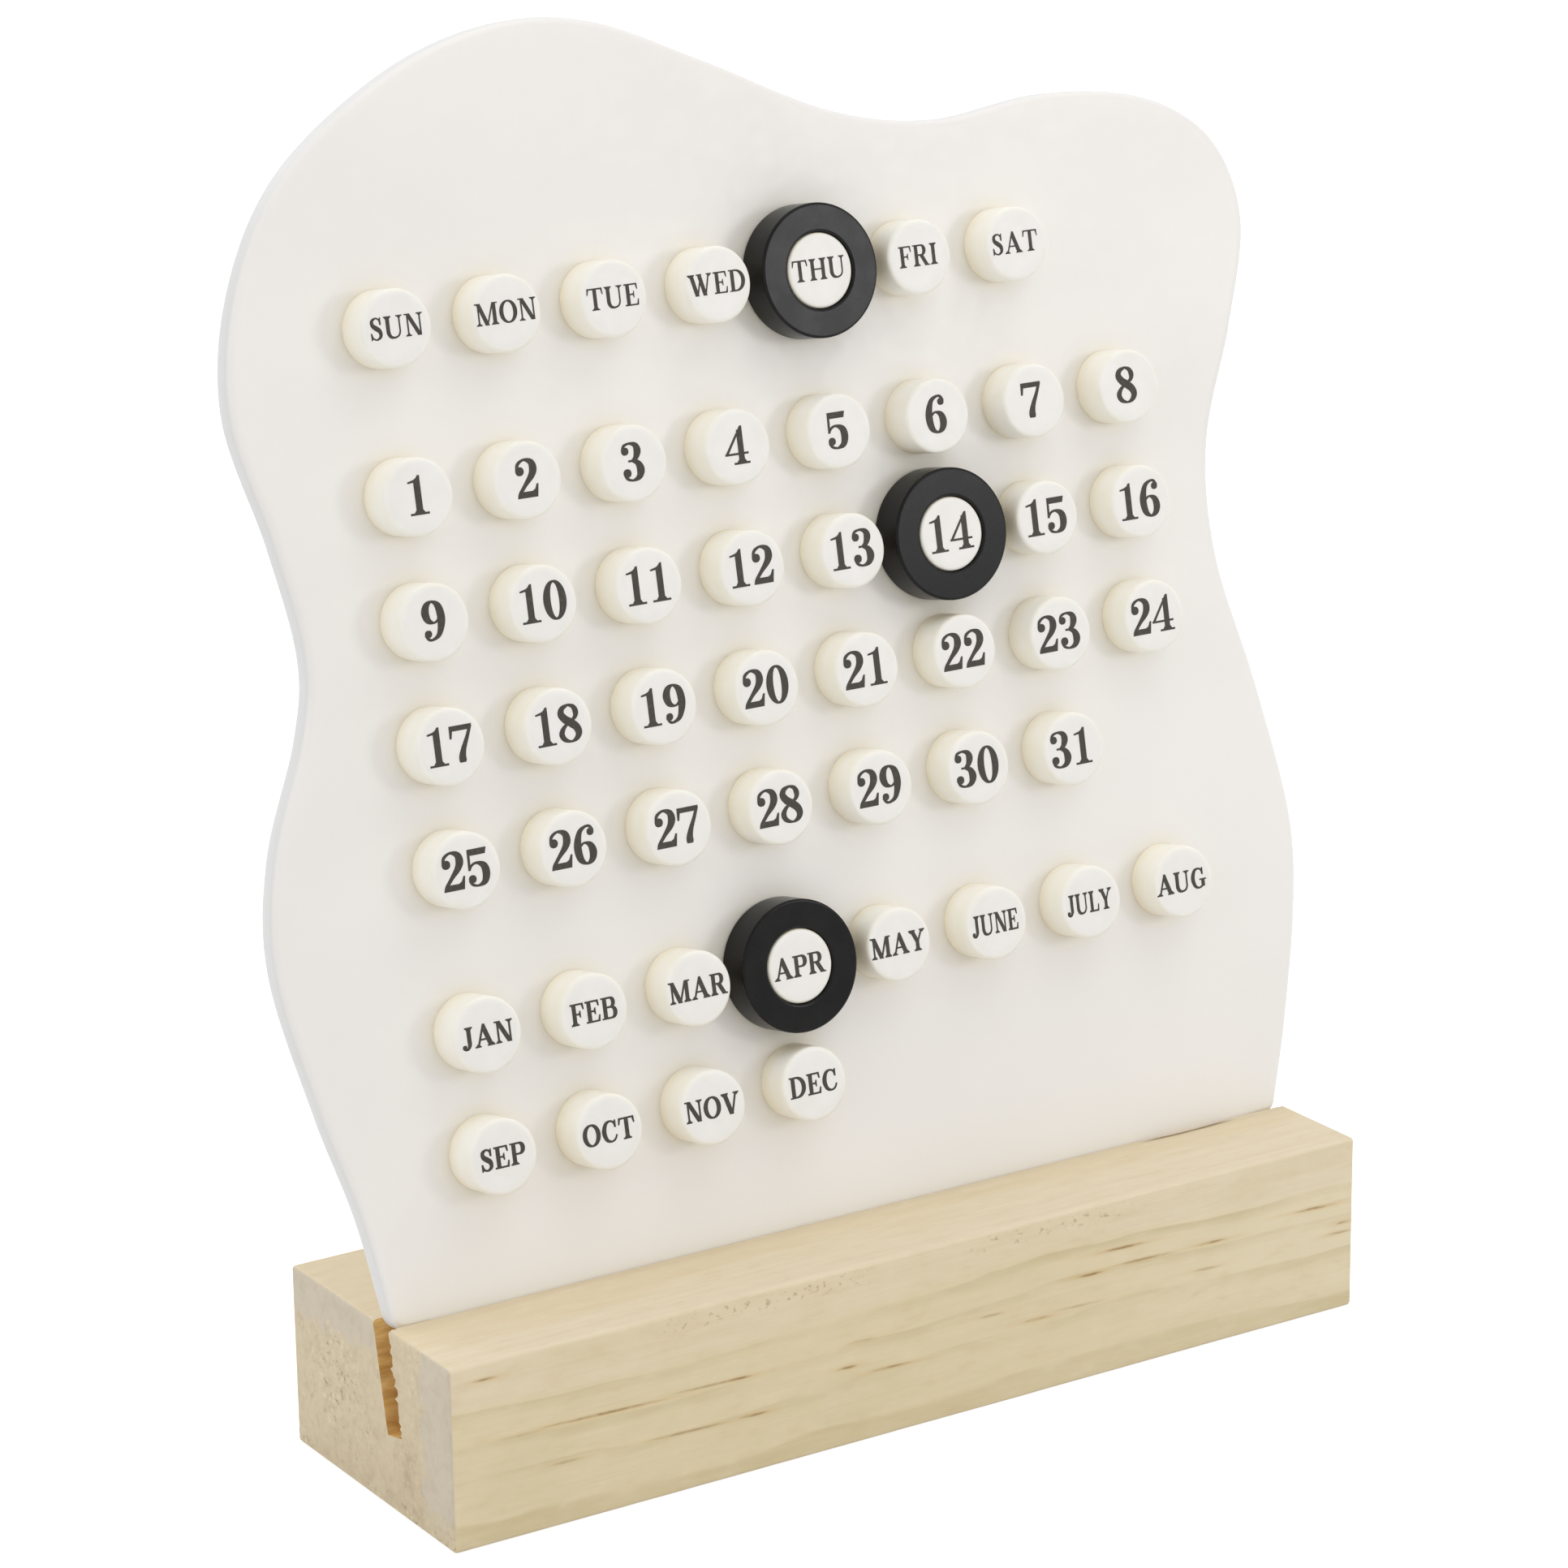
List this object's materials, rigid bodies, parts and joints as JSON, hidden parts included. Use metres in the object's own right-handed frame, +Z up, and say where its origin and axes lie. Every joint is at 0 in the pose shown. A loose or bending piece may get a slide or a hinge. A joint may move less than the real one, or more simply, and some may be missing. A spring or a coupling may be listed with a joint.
{
  "type": "perpetual desk calendar",
  "caption": "Desk calendar with a wavy white panel that leans in a slot across a pine block; loose rings over its pegs mark the weekday, date and month.",
  "frame": {"origin": "middle of the base's underside", "axes": "+Z up, +X to the right as the pegs are read, the front with the pegs faces -Y"},
  "size_m": [0.1699, 0.0537, 0.1923],
  "materials": {
    "pine": "bare sanded pine",
    "panel": "off-white sheet, soft gloss",
    "peg": "cream white, satin, printed on top",
    "ring": "charcoal black, matte"
  },
  "bodies": {
    "base": {"base_block": "pine"},
    "panel": {"upright_panel": "panel", "peg_sun": "peg", "peg_mon": "peg", "peg_tue": "peg", "peg_wed": "peg", "peg_thu": "peg", "peg_fri": "peg", "peg_sat": "peg", "peg_day_01": "peg", "peg_day_02": "peg", "peg_day_03": "peg", "peg_day_04": "peg", "peg_day_05": "peg", "peg_day_06": "peg", "peg_day_07": "peg", "peg_day_08": "peg", "peg_day_09": "peg", "peg_day_10": "peg", "peg_day_11": "peg", "peg_day_12": "peg", "peg_day_13": "peg", "peg_day_14": "peg", "peg_day_15": "peg", "peg_day_16": "peg", "peg_day_17": "peg", "peg_day_18": "peg", "peg_day_19": "peg", "peg_day_20": "peg", "peg_day_21": "peg", "peg_day_22": "peg", "peg_day_23": "peg", "peg_day_24": "peg", "peg_day_25": "peg", "peg_day_26": "peg", "peg_day_27": "peg", "peg_day_28": "peg", "peg_day_29": "peg", "peg_day_30": "peg", "peg_day_31": "peg", "peg_jan": "peg", "peg_feb": "peg", "peg_mar": "peg", "peg_apr": "peg", "peg_may": "peg", "peg_jun": "peg", "peg_jul": "peg", "peg_aug": "peg", "peg_sep": "peg", "peg_oct": "peg", "peg_nov": "peg", "peg_dec": "peg"},
    "weekday_marker": {"weekday_ring": "ring"},
    "date_marker": {"date_ring": "ring"},
    "month_marker": {"month_ring": "ring"}
  },
  "joints": [
    {"name": "panel_lift", "type": "slide", "parent": "base", "child": "panel", "axis": [0, 0.1959, 0.9806], "range_m": [0, 0.02]},
    {"name": "weekday_pull", "type": "slide", "parent": "panel", "child": "weekday_marker", "axis": [0, -0.9806, 0.1959], "range_m": [0, 0.01]},
    {"name": "date_pull", "type": "slide", "parent": "panel", "child": "date_marker", "axis": [0, -0.9806, 0.1959], "range_m": [0, 0.01]},
    {"name": "month_pull", "type": "slide", "parent": "panel", "child": "month_marker", "axis": [0, -0.9806, 0.1959], "range_m": [0, 0.01]}
  ]
}
